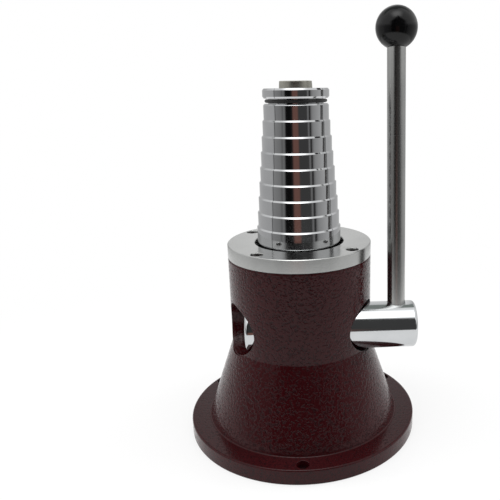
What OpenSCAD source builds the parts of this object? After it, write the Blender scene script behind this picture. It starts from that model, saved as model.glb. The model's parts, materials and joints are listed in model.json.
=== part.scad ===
// Bracelet stretcher: a lever turns a pinion, the pinion lifts a tapered expander by its rack,
// and the expander spreads a stepped mandrel that is split into four segments.
// Units are millimetres. The mandrel axis is Z, the floor is z = 0 and the front is -Y.

/* [Base casting] */
// Outside diameter of the bolting flange
flange_d = 182; // [165:0.5:200]
// Thickness of the bolting flange
flange_t = 12; // [8:0.5:16]
// Rounding of the flange edges
flange_round = 1; // [0.5:0.1:2]
// Diameter of the skirt just above its fillet on the flange
skirt_d = 150.8; // [144:0.2:154]
// Diameter of the skirt higher up, where the cone of the foot begins
shoulder_d = 145.2; // [138:0.2:148]
// Height of that place above the floor
shoulder_z = 22.5; // [18:0.5:30]
// Fillet between skirt and flange
skirt_fillet = 2.2; // [1:0.1:4]
// Height of the crease where the cone meets the round head
crease_z = 73; // [66:0.5:80]
// Diameter of the round head
head_d = 110.5; // [108:0.5:120]
// Height of the head above the floor
head_z = 143; // [138:0.5:155]
// Wall of the hollow foot
wall = 8; // [5:0.5:10]
// Distance of the three bench bolt holes from the flange edge
bolt_edge = 7; // [6:0.5:8.5]
// Diameter of a bench bolt hole
bolt_hole_d = 9; // [6:0.5:11]
// Turn of the bolt holes round the axis
bolt_turn = -1.5; // [-10:0.5:10]

/* [Top plate] */
// Thickness of the top plate
plate_t = 10; // [8:0.5:14]
// Chamfer on the upper edges of the plate
plate_chamfer = 0.5; // [0.4:0.1:1.5]
// Gap between mandrel and plate hole with the mandrel closed
plate_gap = 2.2; // [1.8:0.1:3]
// Pitch circle of the plate screws
screw_pcd = 98; // [96:0.5:99]
// Thread diameter of a plate screw
screw_d = 5; // [4:0.5:5]
// Head diameter of a plate screw
screw_head_d = 8.4; // [7:0.1:8.6]
// Head height of a plate screw
screw_head_h = 5; // [4:0.5:5.5]
// Depth of a screw head below the plate face
screw_sink = 1; // [0.5:0.1:2]
// Screw length below its head
screw_l = 15; // [12:1:20]

/* [Mandrel] */
// Number of steps
step_n = 9; // [6:1:10]
// Diameter of the top step
step_d = 48; // [44:0.5:50]
// Growth in diameter from one step to the next
step_grow = 2; // [1.6:0.1:2.2]
// Height of one step
step_h = 11.25; // [9:0.05:13]
// Height of the bevel at the top of each step
bevel_h = 1.1; // [0.8:0.1:2]
// Height of the lowest step above the plate
lowest_step_h = 13.1; // [10:0.1:16]
// Diameter of the lip over the upper ring groove
lip_d = 48.8; // [46:0.2:52]
// Thickness of the lip
lip_t = 7; // [4:0.1:9]
// Width of the bevels on both lip edges
lip_chamfer = 0.9; // [0.4:0.1:1.2]
// Height of those bevels
lip_bevel_h = 1.3; // [0.6:0.1:1.8]
// Height of the upper ring groove
groove_h = 3.6; // [3.4:0.1:5]
// Section of both rubber rings
ring_section = 2.5; // [2:0.1:3]
// Depth of the upper groove below the lip edge
groove_depth = 4.1; // [3.6:0.1:5]
// Saw cut between two segments
kerf = 0.3; // [0.2:0.1:1]
// Turn of the seams and plate screws round the axis
seam_turn = 6; // [0:1:20]
// Overhang of the segment foot past the lowest step
foot_w = 5; // [4.5:0.1:6]
// Thickness of the segment foot
foot_t = 11.7; // [10:0.1:13]

/* [Expander] */
// Diameter of the expander at its top
nose_d = 23.7; // [20:0.1:26]
// Growth of the expander radius for each millimetre down
taper = 0.06; // [0.04:0.005:0.07]
// Height of the nose above the mandrel at rest
nose_h = 5.1; // [4:0.1:10]
// Depth of the expander seat below the head
seat_depth = 23; // [21:0.5:25]
// Diameter of the rack bar
bar_d = 24; // [23:0.5:26]
// Length of the rack bar below the expander seat
bar_l = 90; // [88:1:94]
// Diameter of the rack bar spigot in the expander
spigot_d = 18; // [14:0.5:20]
// Length of the rack bar spigot
spigot_l = 20; // [16:1:22]
// Diameter of the cross pin that holds the spigot
cross_pin_d = 6; // [4:0.5:8]

/* [Rack and pinion] */
// Module of the teeth
gear_m = 2.5; // [2:0.1:2.6]
// Teeth on the pinion
gear_n = 12; // [12:1:13]
// Distance of the rack pitch line from the bar axis
rack_y = 7.3; // [5.5:0.1:7.5]
// Tooth height of the rack above its pitch line
rack_tip = 1.7; // [1.2:0.1:1.75]
// Trim of the pinion tips below their full height
tip_trim = 0.2; // [0.1:0.05:0.5]
// Root clearance of both tooth forms
root_gap = 0.5; // [0.3:0.1:0.8]
// Flank clearance of the teeth
flank_gap = 0.3; // [0.2:0.05:0.5]

/* [Shaft and lever] */
// Diameter of the pinion shaft
shaft_d = 35.6; // [34.8:0.1:36.4]
// Depth of the shaft axis below the head
shaft_depth = 53; // [51:0.5:56]
// Reach of the shaft to the left of the axis
shaft_left = 42.5; // [38:0.5:50]
// Reach of the shaft to the right of the axis
shaft_right = 87; // [84:0.5:90]
// Rounding of the shaft ends
shaft_round = 2.5; // [1:0.1:4]
// Wall of a shaft bush
bush_t = 2.1; // [1.2:0.1:2.5]
// Length of a shaft bush
bush_l = 20; // [12:1:21]
// Diameter of the lever rod
rod_d = 13.5; // [11:0.1:14]
// Distance of the rod from the mandrel axis, at the shaft axis
rod_x = 73; // [70:0.1:74]
// Lean of the rod toward the mandrel
rod_lean = 0.2; // [0:0.1:2]
// Lean of the rod to the back, with the lever at its stop
rod_back = 5; // [0:0.5:8]
// Height of the knob centre above the shaft axis, along the rod
knob_h = 218; // [180:0.5:240]
// Depth of the rod end below the shaft axis
rod_seat = 10; // [6:0.5:12]
// Swing of the lever from its stop
swing = 80; // [60:1:80]
// Diameter of the ball knob
knob_d = 30; // [26:0.5:36]
// Thread diameter of the rod end in the knob
stud_d = 8; // [6:1:9]
// Length of the threaded rod end
stud_l = 18; // [12:1:20]
// Wall of the knob insert
insert_t = 2; // [1.5:0.1:2.2]
// Diameter of the grub screw that clamps the rod
grub_d = 8; // [6:1:10]
// Depth of the grub screw below the shaft end
grub_sink = 1; // [0.5:0.1:2]

/* [Guides and fits] */
// Wall of a guide bush round the rack bar
guide_t = 4; // [3:0.5:4.5]
// Length of the upper guide bush
guide_top_l = 10; // [8:0.5:10.5]
// Length of the lower guide bush
guide_low_l = 18; // [12:1:20]
// Thickness of the wear ring under the segments
wear_t = 3; // [2:0.5:4]
// Diameter of a segment guide pin
pin_d = 5; // [4:0.5:5.5]
// Distance of the guide pins from the axis
pin_r = 28; // [27.5:0.1:28.5]
// Depth of a guide pin in the casting
pin_seat = 7; // [5:0.5:8]
// Standing height of a guide pin above the wear ring
pin_h = 7; // [5:0.5:8]
// Radial gap of fixed fits
fit_gap = 0.04; // [0.02:0.01:0.08]
// Radial gap of running fits
run_gap = 0.06; // [0.03:0.01:0.1]
// Gap under parts that rest on a seat
seat_gap = 0.1; // [0.05:0.05:0.2]
// Gap between parts that pass each other
pass_gap = 0.3; // [0.2:0.05:0.5]

/* [Hidden] */
$fn = 96;
eps = 1;

// radii
flange_r = flange_d / 2;
bolt_pcd = flange_d - 2 * bolt_edge;
skirt_r = skirt_d / 2;
shoulder_r = shoulder_d / 2;
head_r = head_d / 2;
shaft_r = shaft_d / 2;
rod_r = rod_d / 2;
knob_r = knob_d / 2;
bar_r = bar_d / 2;
nose_r = nose_d / 2;
ring_r = ring_section / 2;

// pinion and rack
pitch_r = gear_m * gear_n / 2;
tip_r = pitch_r + gear_m - tip_trim;
root_r = pitch_r - rack_tip - root_gap;
pressure = 20;
base_r = pitch_r * cos(pressure);
pitch = PI * gear_m;
tooth_half = pitch / 4 - flank_gap / 2;
space_half = pitch / 4 + flank_gap / 2;
rack_root = gear_m + root_gap;
lift = pitch_r * swing * PI / 180;
spread = lift * taper;

// heights
shaft_z = head_z - shaft_depth;
shaft_y = -(rack_y + pitch_r);
seat_z = head_z - seat_depth;
foot_top = head_z - 2 * seat_gap;
foot_low = foot_top - foot_t;
wear_top = foot_low - seat_gap;
wear_low = wear_top - wear_t;
plate_z = head_z + plate_t;
lowest_z = plate_z + lowest_step_h;
top_step_z = lowest_z + (step_n - 1) * step_h;
lip_low = top_step_z + groove_h;
mandrel_z = lip_low + lip_t;
nose_z = mandrel_z + nose_h;

// mandrel radii
step_r = step_d / 2;
mandrel_r = step_r + (step_n - 1) * step_grow / 2;
lip_r = lip_d / 2;
upper_root = lip_r - groove_depth;
foot_r = mandrel_r + foot_w;
lower_root = foot_r - ring_section;
lower_mid = (foot_low + foot_top) / 2;
recess_r = foot_r + spread + 4 * pass_gap;
plate_hole_r = mandrel_r + plate_gap;
function cone_r(z) = nose_r + (nose_z - z) * taper;
function bore_r(z) = cone_r(z) + spread + pass_gap / 2;
chamber_r = cone_r(seat_z) + 6 * pass_gap;

// casting inside
cross_r = max(shaft_r, tip_r) + bush_t;
guide_r = bar_r + guide_t;
gear_low = shaft_z - cross_r - guide_low_l - 4;
hollow_r = shoulder_r - wall - (gear_low - shoulder_z) * (shoulder_r - head_r) / (crease_z - shoulder_z);
pinion_l = bar_d;
bush_in = pinion_l / 2 + 2;
screw_hole_z = head_z - screw_l;
head_z_low = plate_z - screw_sink - screw_head_h;

// rack teeth stay in reach of the pinion over the whole lift
mesh_half = sqrt(pow(tip_r, 2) - pow(pitch_r - rack_tip, 2));
flat_half = sqrt(max(0, pow(tip_r, 2) - pow(rack_y + pitch_r - bar_r, 2)));
flat_top = shaft_z + flat_half + eps;
flat_low = shaft_z - lift - flat_half - eps;
space_up = ceil(mesh_half / pitch - 0.5);
space_down = ceil((lift + mesh_half) / pitch - 0.5);

// knob
knob_flat = sqrt(pow(knob_r, 2) - pow(rod_r, 2));
insert_r = stud_d / 2 + insert_t;
grub_in = rod_x + rod_r + grub_d / 2 * tan(rod_lean) + fit_gap;

// Corner between a square edge and its rounding, pointing up and right
module corner(r) {
  difference() {
    translate([-r, -r]) square(r + eps);
    translate([-r, -r]) circle(r);
  }
}

// Ring of four places on the screw and seam pattern
module four() {
  for (i = [0:3]) rotate([0, 0, 45 + seam_turn + 90 * i]) children();
}

// Four bisector directions of the segments
module four_mid() {
  for (i = [0:3]) rotate([0, 0, seam_turn + 90 * i]) children();
}

// Tube standing on z = 0
module tube(outer, inner, h) {
  difference() {
    cylinder(r = outer, h = h);
    translate([0, 0, -eps]) cylinder(r = inner, h = h + 2 * eps);
  }
}

// Half section of the casting outside
module casting_section() {
  difference() {
    square([flange_r, flange_t]);
    translate([flange_r, flange_t]) corner(flange_round);
    translate([flange_r, 0]) mirror([0, 1]) corner(flange_round);
  }
  polygon([
    [0, 0],
    [skirt_r, 0],
    [skirt_r, flange_t + skirt_fillet],
    [shoulder_r, shoulder_z],
    [head_r, crease_z],
    [head_r, head_z],
    [0, head_z]
  ]);
  difference() {
    translate([skirt_r - eps, flange_t]) square([skirt_fillet + eps, skirt_fillet]);
    translate([skirt_r + skirt_fillet, flange_t + skirt_fillet]) circle(skirt_fillet);
  }
}

// Half section of the hollow in the foot, open at the floor
module hollow_section() {
  polygon([
    [0, -eps],
    [skirt_r - wall, -eps],
    [shoulder_r - wall, shoulder_z],
    [hollow_r, gear_low],
    [0, gear_low]
  ]);
}

module base_casting() {
  color([0.24, 0.13, 0.14]) difference() {
    rotate_extrude() casting_section();
    rotate_extrude() hollow_section();
    translate([-head_r - eps, shaft_y, shaft_z]) rotate([0, 90, 0]) cylinder(r = cross_r, h = 2 * (head_r + eps));
    translate([0, 0, gear_low - eps]) cylinder(r = guide_r, h = seat_z - gear_low + 2 * eps);
    translate([0, 0, seat_z]) cylinder(r = chamber_r, h = head_z - seat_z + eps);
    translate([0, 0, wear_low]) cylinder(r = recess_r, h = head_z - wear_low + eps);
    four() translate([screw_pcd / 2, 0, screw_hole_z])
      cylinder(r = screw_d / 2 + fit_gap, h = screw_l + eps);
    four_mid() translate([pin_r, 0, wear_low - pin_seat])
      cylinder(r = pin_d / 2 + fit_gap, h = pin_seat + eps);
    for (i = [0:2]) rotate([0, 0, 120 * i - 90 + bolt_turn]) translate([bolt_pcd / 2, 0, -eps])
      cylinder(r = bolt_hole_d / 2, h = flange_t + 2 * eps);
  }
}

module top_plate() {
  color([0.62, 0.62, 0.62]) difference() {
    rotate_extrude() polygon([
      [plate_hole_r, head_z],
      [head_r, head_z],
      [head_r, plate_z - plate_chamfer],
      [head_r - plate_chamfer, plate_z],
      [plate_hole_r + plate_chamfer, plate_z],
      [plate_hole_r, plate_z - plate_chamfer]
    ]);
    four() translate([screw_pcd / 2, 0, 0]) {
      translate([0, 0, head_z - eps]) cylinder(r = screw_d / 2 + pass_gap, h = plate_t + 2 * eps);
      translate([0, 0, head_z_low]) cylinder(r = screw_head_d / 2 + pass_gap, h = plate_t);
    }
  }
}

module plate_screws() {
  color([0.2, 0.2, 0.2]) four() translate([screw_pcd / 2, 0, 0]) difference() {
    union() {
      translate([0, 0, head_z_low]) cylinder(r = screw_head_d / 2, h = screw_head_h);
      translate([0, 0, head_z_low - screw_l]) cylinder(r = screw_d / 2, h = screw_l + eps);
    }
    translate([0, 0, head_z_low + screw_head_h / 2]) cylinder(r = screw_d * 0.46, h = screw_head_h, $fn = 6);
  }
}

module wear_ring() {
  color([0.5, 0.5, 0.48]) difference() {
    translate([0, 0, wear_low]) tube(recess_r - fit_gap, chamber_r, wear_t);
    four_mid() translate([pin_r, 0, wear_low - eps]) cylinder(r = pin_d / 2 + fit_gap, h = wear_t + 2 * eps);
  }
}

module segment_guide_pins() {
  color([0.45, 0.45, 0.45]) four_mid() translate([pin_r, 0, wear_low - pin_seat])
    cylinder(r = pin_d / 2, h = pin_seat + wear_t + pin_h);
}

module guide_bush_upper() {
  color([0.7, 0.5, 0.25]) translate([0, 0, seat_z - guide_top_l])
    tube(guide_r - fit_gap, bar_r + run_gap, guide_top_l);
}

module guide_bush_lower() {
  color([0.7, 0.5, 0.25]) translate([0, 0, gear_low]) tube(guide_r - fit_gap, bar_r + run_gap, guide_low_l);
}

// Bush round the pinion shaft, on the side given by the sign
module shaft_bush(side) {
  color([0.7, 0.5, 0.25]) translate([side * (bush_in + bush_l / 2), shaft_y, shaft_z]) rotate([0, 90, 0])
    translate([0, 0, -bush_l / 2]) tube(cross_r - fit_gap, shaft_r + run_gap, bush_l);
}

module shaft_bush_left() {
  shaft_bush(-1);
}

module shaft_bush_right() {
  shaft_bush(1);
}

// Half section of the closed mandrel: foot with ring groove, bevelled steps, ring groove, lip
module mandrel_section() {
  polygon(concat(
    [
      [0, foot_low],
      [foot_r, foot_low],
      [foot_r, lower_mid - ring_r - pass_gap],
      [lower_root, lower_mid - ring_r - pass_gap],
      [lower_root, lower_mid + ring_r + pass_gap],
      [foot_r, lower_mid + ring_r + pass_gap],
      [foot_r, foot_top],
      [mandrel_r, foot_top]
    ],
    [
      for (k = [0:step_n - 1], j = [0, 1])
        [mandrel_r - (k + j) * step_grow / 2, lowest_z + k * step_h - (1 - j) * bevel_h]
    ],
    [
      [upper_root, top_step_z],
      [upper_root, lip_low],
      [lip_r - lip_chamfer, lip_low],
      [lip_r, lip_low + lip_bevel_h],
      [lip_r, mandrel_z - lip_bevel_h],
      [lip_r - lip_chamfer, mandrel_z],
      [0, mandrel_z]
    ]
  ));
}

// One quarter of the mandrel, on the bisector +X, bored in its spread position
module segment(turn) {
  apex = kerf / sqrt(2);
  reach = 2 * foot_r;
  color([0.72, 0.72, 0.73]) rotate([0, 0, turn + seam_turn]) difference() {
    intersection() {
      rotate_extrude() mandrel_section();
      translate([0, 0, foot_low - eps]) linear_extrude(mandrel_z - foot_low + 2 * eps)
        polygon([[apex, 0], [apex + reach, -reach], [apex + reach, reach]]);
    }
    translate([-spread, 0, foot_low - eps])
      cylinder(r1 = bore_r(foot_low - eps), r2 = bore_r(mandrel_z + eps), h = mandrel_z - foot_low + 2 * eps);
    for (x = [pin_r - spread, pin_r]) translate([x, 0, foot_low - eps])
      cylinder(r = pin_d / 2 + pass_gap, h = pin_h + eps + pass_gap);
    translate([pin_r - spread, -pin_d / 2 - pass_gap, foot_low - eps])
      cube([spread, pin_d + 2 * pass_gap, pin_h + eps + pass_gap]);
  }
}

module mandrel_segment_front() {
  segment(-90);
}

module mandrel_segment_right() {
  segment(0);
}

module mandrel_segment_back() {
  segment(90);
}

module mandrel_segment_left() {
  segment(180);
}

module upper_o_ring() {
  color([0.05, 0.05, 0.05]) rotate_extrude()
    translate([upper_root + ring_r + fit_gap, (top_step_z + lip_low) / 2]) circle(ring_r);
}

module lower_o_ring() {
  color([0.05, 0.05, 0.05]) rotate_extrude()
    translate([lower_root + ring_r + fit_gap, lower_mid]) circle(ring_r);
}

module expander_cone() {
  low = seat_z + seat_gap;
  color([0.5, 0.5, 0.48]) difference() {
    translate([0, 0, low]) cylinder(r1 = cone_r(low), r2 = nose_r, h = nose_z - low);
    translate([0, 0, low - eps]) cylinder(r = spigot_d / 2 + fit_gap, h = spigot_l + eps + pass_gap);
    translate([-head_r, 0, low + spigot_l / 2]) rotate([0, 90, 0])
      cylinder(r = cross_pin_d / 2 + fit_gap, h = 2 * head_r);
  }
}

// Space between two rack teeth, as a section in the YZ plane
module rack_space() {
  out = bar_r + eps - rack_y;
  polygon([
    [-rack_y - out, -space_half - out * tan(pressure)],
    [-rack_y - out, space_half + out * tan(pressure)],
    [-rack_y + rack_root, space_half - rack_root * tan(pressure)],
    [-rack_y + rack_root, -space_half + rack_root * tan(pressure)]
  ]);
}

module rack_bar() {
  low = seat_z + seat_gap;
  color([0.42, 0.42, 0.42]) difference() {
    union() {
      translate([0, 0, low - bar_l]) cylinder(r = bar_r, h = bar_l);
      translate([0, 0, low - eps]) cylinder(r = spigot_d / 2, h = spigot_l + eps);
    }
    translate([-bar_r - eps, -bar_r - eps, flat_low])
      cube([2 * (bar_r + eps), bar_r + eps - rack_y - rack_tip, flat_top - flat_low]);
    for (k = [-space_down:space_up]) translate([-bar_r - eps, 0, shaft_z + k * pitch])
      rotate([90, 0, 90]) linear_extrude(2 * (bar_r + eps)) rack_space();
    translate([-head_r, 0, low + spigot_l / 2]) rotate([0, 90, 0])
      cylinder(r = cross_pin_d / 2 + fit_gap, h = 2 * head_r);
  }
}

module cone_pin() {
  half = cone_r(seat_z + spigot_l / 2) - 1;
  color([0.35, 0.35, 0.35]) translate([-half, 0, seat_z + seat_gap + spigot_l / 2]) rotate([0, 90, 0])
    cylinder(r = cross_pin_d / 2, h = 2 * half);
}

// Involute pinion, with a tooth pointing along +Y of its own plane
function inv(a) = tan(a) * 180 / PI - a;
function flank(r) = tooth_half / pitch_r * 180 / PI + inv(pressure) - inv(acos(min(1, base_r / r)));
module pinion_section() {
  radii = concat([root_r], [for (i = [0:5]) base_r + (tip_r - base_r) * i / 5]);
  n = len(radii) - 1;
  polygon([
    for (t = [0:gear_n - 1], s = [-1, 1], i = [0:n])
      let (k = s < 0 ? i : n - i, a = 90 - t * 360 / gear_n - s * flank(radii[k]))
        [radii[k] * cos(a), radii[k] * sin(a)]
  ]);
}

// Plain shaft length with a rounded outer end, from z = 0 up
module shaft_end(length) {
  rotate_extrude() difference() {
    square([shaft_r, length]);
    translate([shaft_r, length]) corner(shaft_round);
  }
}

// Axis system of the leaning lever rod
module on_rod() {
  translate([rod_x, shaft_y, shaft_z]) rotate([-rod_back, -rod_lean, 0]) children();
}

module pinion_shaft() {
  color([0.75, 0.75, 0.76]) difference() {
    translate([0, shaft_y, shaft_z]) rotate([0, 90, 0]) {
      translate([0, 0, -pinion_l / 2]) linear_extrude(pinion_l) pinion_section();
      translate([0, 0, pinion_l / 2]) shaft_end(shaft_right - pinion_l / 2);
      translate([0, 0, -pinion_l / 2]) mirror([0, 0, 1]) shaft_end(shaft_left - pinion_l / 2);
    }
    on_rod() translate([0, 0, -rod_seat]) cylinder(r = rod_r + fit_gap, h = rod_seat + 2 * shaft_r);
    translate([rod_x, shaft_y, shaft_z]) rotate([0, 90, 0])
      cylinder(r = grub_d / 2 + fit_gap, h = shaft_right - rod_x + eps);
  }
}

module lever_rod() {
  color([0.6, 0.6, 0.6]) on_rod() {
    translate([0, 0, -rod_seat]) cylinder(r = rod_r, h = rod_seat + knob_h - knob_flat);
    translate([0, 0, knob_h - knob_flat - eps]) cylinder(r = stud_d / 2, h = stud_l + eps);
  }
}

module lever_grub_screw() {
  color([0.2, 0.2, 0.2]) translate([grub_in, shaft_y, shaft_z]) rotate([0, 90, 0]) difference() {
    cylinder(r = grub_d / 2, h = shaft_right - grub_sink - grub_in);
    translate([0, 0, 2]) cylinder(r = grub_d * 0.28, h = shaft_right - grub_in, $fn = 6);
  }
}

module ball_knob() {
  color([0.03, 0.03, 0.03]) on_rod() difference() {
    translate([0, 0, knob_h]) sphere(knob_r);
    translate([0, 0, knob_h - 2 * knob_r]) cylinder(r = knob_d, h = 2 * knob_r - knob_flat);
    translate([0, 0, knob_h - knob_flat - eps]) cylinder(r = insert_r + fit_gap, h = stud_l + 2 * eps);
  }
}

module knob_insert() {
  color([0.75, 0.6, 0.3]) on_rod() translate([0, 0, knob_h - knob_flat])
    tube(insert_r, stud_d / 2 + fit_gap, stud_l);
}

base_casting();
top_plate();
plate_screws();
wear_ring();
segment_guide_pins();
guide_bush_upper();
guide_bush_lower();
shaft_bush_left();
shaft_bush_right();
mandrel_segment_front();
mandrel_segment_right();
mandrel_segment_back();
mandrel_segment_left();
upper_o_ring();
lower_o_ring();
expander_cone();
rack_bar();
cone_pin();
pinion_shaft();
lever_rod();
lever_grub_screw();
ball_knob();
knob_insert();
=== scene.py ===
import json

import bmesh
import bpy
import numpy as np
from mathutils import Matrix

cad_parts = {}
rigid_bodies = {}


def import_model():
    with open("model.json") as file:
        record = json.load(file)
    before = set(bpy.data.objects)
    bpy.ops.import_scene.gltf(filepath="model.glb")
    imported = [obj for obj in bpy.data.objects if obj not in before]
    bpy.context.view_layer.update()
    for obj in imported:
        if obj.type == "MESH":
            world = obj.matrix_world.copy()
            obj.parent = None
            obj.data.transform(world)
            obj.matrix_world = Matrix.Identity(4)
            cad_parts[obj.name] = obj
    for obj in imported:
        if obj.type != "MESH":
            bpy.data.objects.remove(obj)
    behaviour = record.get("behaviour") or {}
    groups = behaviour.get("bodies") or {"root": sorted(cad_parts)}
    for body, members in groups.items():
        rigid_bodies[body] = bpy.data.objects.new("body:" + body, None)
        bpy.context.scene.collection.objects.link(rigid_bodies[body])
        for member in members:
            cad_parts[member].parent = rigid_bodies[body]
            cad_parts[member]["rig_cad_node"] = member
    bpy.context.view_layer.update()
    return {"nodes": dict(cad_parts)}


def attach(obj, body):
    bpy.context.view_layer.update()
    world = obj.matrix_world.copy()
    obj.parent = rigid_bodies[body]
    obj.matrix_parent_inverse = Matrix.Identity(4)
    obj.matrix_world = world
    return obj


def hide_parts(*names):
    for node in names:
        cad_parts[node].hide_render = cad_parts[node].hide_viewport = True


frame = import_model()

# ---------------------------------------------------------------- base casting
# One iron casting: bolting flange, conical foot and round head, bored across for the shaft.
# It is sand cast, turned on the outside and sprayed with a thick maroon hammer-finish enamel,
# which rounds every edge a little. Three bench bolts hold it down.
MM = 0.001                                     # sizes below are millimetres, meshes are metres
FLANGE_R, FLANGE_T, CONE_R = 91.0, 12.0, 76.2
HEAD_R, CREASE_Z, HEAD_Z = 55.25, 73.0, 143.0
FOOT_ROUND, RIM_ROUND, CONE_FILLET, CREASE_ROUND, TOP_ROUND = 1.0, 1.3, 1.3, 1.5, 1.5
HOLLOW = [(67.4, 0.0), (64.6, 22.5), (55.8, 48.1)]          # inside of the foot
BORES = [(16.0, 48.1), (16.0, 120.0), (22.75, 120.0), (22.75, 128.0), (39.46, 128.0), (39.46, 143.0)]
BORE_BREAK, HOLLOW_ROUND, HOLLOW_LIP = 0.3, 3.0, 0.8
SHAFT_Y, SHAFT_Z, CROSS_R = -22.3, 90.0, 19.9
BOLT_R, BOLT_HOLE_R, BOLT_TURNS = 84.0, 4.5, np.radians([-91.5, 28.5, 148.5])
HOLE_MOUTH = 0.5                               # rounding at the mouth of a hole
COLUMNS, WALL_STEP = 256, 1.6                  # faces round a large turned piece, and their greatest height


def rounded(corners, radii, closed=False, arc=4, support=0.08):
    """Profile with each corner turned into an arc. The arc starts and ends where it touches the two sides,
    at radius / tan(half the angle between them), and runs evenly round its centre. A support point on each
    side keeps the flat beyond it flat in shading. Open profiles keep their two end points."""
    p = np.asarray(corners, float)
    r = np.broadcast_to(np.asarray(radii, float), len(p))[:, None]
    a, b = np.roll(p, 1, 0) - p, np.roll(p, -1, 0) - p
    a /= np.linalg.norm(a, axis=1, keepdims=True)
    b /= np.linalg.norm(b, axis=1, keepdims=True)
    half = np.arccos(np.clip((a * b).sum(1, keepdims=True), -1, 1)) / 2
    touch = r / np.tan(half)
    middle = a + b
    middle /= np.maximum(np.linalg.norm(middle, axis=1, keepdims=True), 1e-9)
    centre = p + middle * r / np.sin(half)
    turn = np.maximum(np.pi - 2 * half, 1e-6)
    s = np.linspace(0, 1, arc + 1)
    start, end = (p + a * touch - centre)[:, None], (p + b * touch - centre)[:, None]
    w0, w1 = np.sin((1 - s) * turn) / np.sin(turn), np.sin(s * turn) / np.sin(turn)
    on_arc = centre[:, None] + start * w0[..., None] + end * w1[..., None]
    before, after = (p + a * (touch + support))[:, None], (p + b * (touch + support))[:, None]
    whole = np.concatenate([before, on_arc, after], 1)
    if closed:
        return whole.reshape(-1, 2)
    return np.concatenate([p[:1], whole[1:-1].reshape(-1, 2), p[-1:]])


def denser(profile, step):
    """The same profile with points added along it, so that no stretch is longer than step."""
    along = np.concatenate([[0], np.cumsum(np.linalg.norm(np.diff(profile, axis=0), axis=1))])
    places = np.union1d(along, np.arange(0, along[-1], step))
    return np.stack([np.interp(places, along, profile[:, k]) for k in (0, 1)], -1)


def revolve(profile, columns):
    """Surface of revolution: each profile point (r, z) is carried round Z in equal turns."""
    a = np.linspace(0, 2 * np.pi, columns, endpoint=False)
    r, z = profile[:, :1], profile[:, 1:]
    return np.stack([r * np.cos(a), r * np.sin(a), z + 0 * a], -1)


def skin(name, *grids, ring=False, ends=False, sharp=32):
    """Quads over grids of points (rows, columns, xyz). Columns close on themselves unless ends is set, which
    fills the first and last column instead, and ring closes the rows too. Points that meet are merged."""
    points, faces, count = [], [], 0
    for grid in grids:
        m, n = grid.shape[:2]
        index = count + np.arange(m * n).reshape(m, n)
        rows = np.vstack([index, index[:1]]) if ring else index
        cells = rows if ends else np.hstack([rows, rows[:, :1]])
        quads = np.stack([cells[:-1, :-1], cells[:-1, 1:], cells[1:, 1:], cells[1:, :-1]], -1)
        faces += quads.reshape(-1, 4).tolist()
        if ends:
            faces += [index[:, 0].tolist(), index[::-1, -1].tolist()]
        points.append(grid.reshape(-1, 3) * MM)
        count += m * n
    mesh = bpy.data.meshes.new(name)
    mesh.from_pydata(np.concatenate(points).tolist(), [], faces)
    piece = bpy.data.objects.new(name, mesh)
    bpy.context.scene.collection.objects.link(piece)
    return finished(piece, sharp)


def finished(piece, sharp=32):
    """Merges points that meet, turns all faces outward and shades smooth with crisp edges past an angle."""
    work = bmesh.new()
    work.from_mesh(piece.data)
    bmesh.ops.remove_doubles(work, verts=work.verts, dist=0.002 * MM)
    bmesh.ops.dissolve_degenerate(work, edges=work.edges, dist=0.001 * MM)
    bmesh.ops.recalc_face_normals(work, faces=work.faces)
    work.to_mesh(piece.data)
    work.free()
    piece.data.polygons.foreach_set("use_smooth", np.ones(len(piece.data.polygons), bool))
    piece.data.set_sharp_from_angle(angle=np.radians(sharp))
    return piece


def cut(piece, *cutters):
    """Takes closed cutters out of a piece with an exact boolean, applied at once."""
    for cutter in cutters:
        step = piece.modifiers.new("cut", "BOOLEAN")
        step.operation, step.solver, step.object = "DIFFERENCE", "EXACT", cutter
    whole = bpy.data.meshes.new_from_object(piece.evaluated_get(bpy.context.evaluated_depsgraph_get()))
    piece.modifiers.clear()
    piece.data = whole
    for cutter in cutters:
        bpy.data.objects.remove(cutter)
    return finished(piece)


def bore(radius, mouth, surface, bottom, columns=96):
    """Round cutter that follows a curved surface at its mouth, from 6 mm above it. Rows are depths below the
    surface: at depth d under the mouth rounding the radius grows by mouth - sqrt(mouth^2 - (mouth - d)^2), as
    a quarter circle does, and surface(u, v) gives the surface height over the bore's own plane."""
    d = mouth * (1 - np.cos(np.linspace(0, np.pi / 2, 6)))
    grow = mouth - np.sqrt(np.maximum(mouth ** 2 - (mouth - d) ** 2, 0))
    depth = np.concatenate([[-6, -0.02], d])
    wide = radius + np.concatenate([[mouth, mouth], grow])
    a = np.linspace(0, 2 * np.pi, columns, endpoint=False)
    u, v = wide[:, None] * np.cos(a), wide[:, None] * np.sin(a)
    wall = np.stack([u, v, surface(u, v) - depth[:, None]], -1)
    lid = np.stack([0 * a, 0 * a, 0 * a + wall[0, :, 2].mean()], -1)[None]
    low = np.stack([radius * np.cos(a), radius * np.sin(a), 0 * a + bottom], -1)[None]
    foot = np.stack([0 * a, 0 * a, 0 * a + bottom], -1)[None]
    return np.concatenate([lid, wall, low, foot])


casting_corners = [(FLANGE_R, 0), (FLANGE_R, FLANGE_T), (CONE_R, FLANGE_T), (HEAD_R, CREASE_Z), (HEAD_R, HEAD_Z)]
casting_rounds = [FOOT_ROUND, RIM_ROUND, CONE_FILLET, CREASE_ROUND, TOP_ROUND]
inside_corners = BORES[::-1] + HOLLOW[::-1]
inside_rounds = [BORE_BREAK] * len(BORES) + [HOLLOW_ROUND, HOLLOW_ROUND, HOLLOW_LIP]
casting_loop = rounded(casting_corners + inside_corners, casting_rounds + inside_rounds, closed=True)
casting_loop = denser(np.vstack([casting_loop, casting_loop[:1]]), WALL_STEP)[:-1]
casting = skin("base_casting_painted", revolve(casting_loop, COLUMNS), ring=True)


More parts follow.
